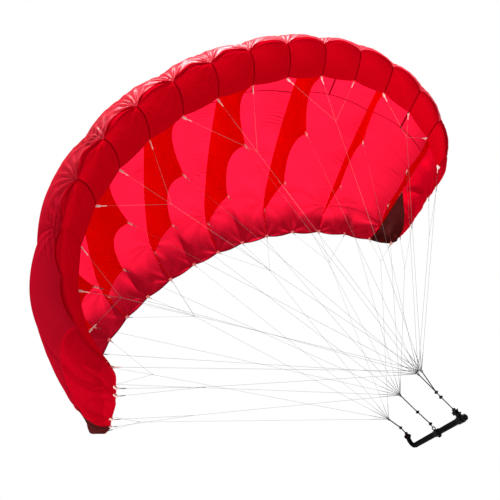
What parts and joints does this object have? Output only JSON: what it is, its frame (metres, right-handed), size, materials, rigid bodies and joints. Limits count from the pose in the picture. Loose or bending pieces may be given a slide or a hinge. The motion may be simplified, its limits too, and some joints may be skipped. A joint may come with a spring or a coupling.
{
  "type": "parawing with hand bar",
  "caption": "Single-skin parawing in flight: arched cloth canopy with a cellular nose, scalloped ribs and a short bridle gathered to a hand-held bar.",
  "frame": {"origin": "middle of the hand bar's grip, on the tube's axis", "axes": "+X along the span, +Y aft from the leading edge to the trailing edge and along the bar, +Z from the bar up to the canopy"},
  "size_m": [2.1646, 1.6783, 1.9001],
  "materials": {
    "canopy_cloth": "coated ripstop, translucent pink-red",
    "rib_cloth": "coated ripstop, deep red",
    "nose_cloth": "coated ripstop, dark red, slight gloss",
    "dark_cloth": "coated ripstop, near black",
    "line_cord": "thin braided line, grey",
    "leader_cord": "braided line, black",
    "bar_grip": "foam grip, fine grain",
    "bar_fitting": "moulded, satin"
  },
  "bodies": {
    "root": {"bar_knob": "bar_fitting", "bar_tube": "bar_grip", "bridle_front": "line_cord", "bridle_second": "line_cord", "bridle_third": "line_cord", "bridle_trailing": "line_cord", "canopy_bay_centre": "canopy_cloth", "canopy_bay_left_2": "canopy_cloth", "canopy_bay_left_4": "canopy_cloth", "canopy_bay_left_6": "canopy_cloth", "canopy_bay_right_2": "canopy_cloth", "canopy_bay_right_4": "canopy_cloth", "canopy_bay_right_6": "canopy_cloth", "front_cleat": "bar_fitting", "leader_front": "leader_cord", "leader_middle": "leader_cord", "leader_rear": "leader_cord", "middle_fitting": "bar_fitting", "nose_cell_left_1": "nose_cloth", "nose_cell_left_2": "nose_cloth", "nose_cell_left_3": "nose_cloth", "nose_cell_left_4": "nose_cloth", "nose_cell_left_5": "nose_cloth", "nose_cell_left_6": "nose_cloth", "nose_cell_left_7": "nose_cloth", "nose_cell_left_8": "nose_cloth", "nose_cell_right_1": "nose_cloth", "nose_cell_right_2": "nose_cloth", "nose_cell_right_3": "nose_cloth", "nose_cell_right_4": "nose_cloth", "nose_cell_right_5": "nose_cloth", "nose_cell_right_6": "nose_cloth", "nose_cell_right_7": "nose_cloth", "nose_cell_right_8": "nose_cloth", "rear_horn": "bar_grip", "rear_lip": "bar_fitting", "rib_left_1": "rib_cloth", "rib_left_3": "rib_cloth", "rib_left_5": "rib_cloth", "rib_left_7": "rib_cloth", "rib_right_1": "rib_cloth", "rib_right_3": "rib_cloth", "rib_right_5": "rib_cloth", "rib_right_7": "rib_cloth", "short_rib_centre": "rib_cloth", "short_rib_left_2": "rib_cloth", "short_rib_left_4": "rib_cloth", "short_rib_left_6": "rib_cloth", "short_rib_right_2": "rib_cloth", "short_rib_right_4": "rib_cloth", "short_rib_right_6": "rib_cloth", "tip_front_left": "nose_cloth", "tip_front_right": "nose_cloth", "tip_rear_left": "dark_cloth", "tip_rear_right": "dark_cloth"}
  },
  "joints": []
}
